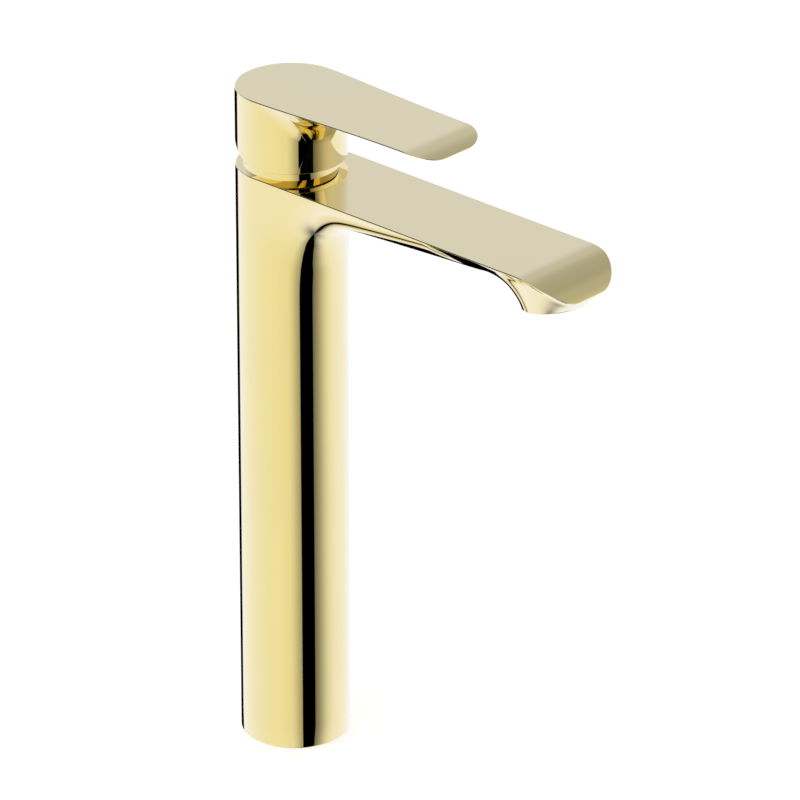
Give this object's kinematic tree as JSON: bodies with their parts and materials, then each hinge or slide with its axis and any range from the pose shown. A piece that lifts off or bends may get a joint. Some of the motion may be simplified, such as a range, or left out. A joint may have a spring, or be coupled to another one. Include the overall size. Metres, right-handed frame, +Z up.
{
  "type": "basin mixer faucet",
  "caption": "Tall single-lever basin mixer: round column, flat tongue spout with rolled lip and outlet nose, and a flat lever on a round hub that turns for heat and lifts for flow.",
  "frame": {"origin": "centre of the base's underside on the column's axis, where it stands on the deck", "axes": "+Z up along the column, -Y to the front where spout and lever point, +X to the right seen from the front"},
  "size_m": [0.048, 0.1923, 0.3058],
  "materials": {
    "polished_gold": "mirror-polished pale gold",
    "raw_brass": "machined",
    "copper": "drawn tube",
    "rubber": "moulded",
    "white_acetal": "moulded",
    "grey_acetal": "moulded",
    "ceramic": "lapped",
    "steel": "turned"
  },
  "bodies": {
    "body": {"body_casting": "polished_gold", "base_insert": "raw_brass", "deck_seal": "rubber", "hot_riser": "copper", "cold_riser": "copper", "riser_seals": "rubber", "cartridge_base": "white_acetal", "disc_gasket": "rubber", "inlet_seals": "rubber", "fixed_disc": "ceramic", "cartridge_housing": "white_acetal", "housing_seal": "rubber", "retaining_nut": "raw_brass", "cover_ring": "polished_gold", "aerator_housing": "polished_gold", "aerator_insert": "white_acetal", "aerator_screen": "steel", "aerator_gasket": "rubber"},
    "turner": {"turner": "grey_acetal", "stem_pin": "steel"},
    "handle": {"handle": "polished_gold", "spindle": "steel", "stem_adapter": "grey_acetal", "set_screw": "steel", "screw_plug": "polished_gold"},
    "carrier": {"disc_carrier": "grey_acetal", "moving_disc": "ceramic"}
  },
  "joints": [
    {"name": "handle_turn", "type": "hinge", "parent": "body", "child": "turner", "pos_m": [0, 0, 0.265], "axis": [0, 0, 1], "range_deg": [-50, 50]},
    {"name": "handle_lift", "type": "hinge", "parent": "turner", "child": "handle", "pos_m": [0, 0, 0.265], "axis": [-1, 0, 0], "range_deg": [0, 25]},
    {"name": "disc_slide", "type": "slide", "parent": "turner", "child": "carrier", "axis": [0, -1, 0], "range_m": [0, 0.0048]}
  ],
  "couplings": [
    {"joint": "disc_slide", "follows": "handle_lift", "m_per_rad": 0.010827}
  ]
}
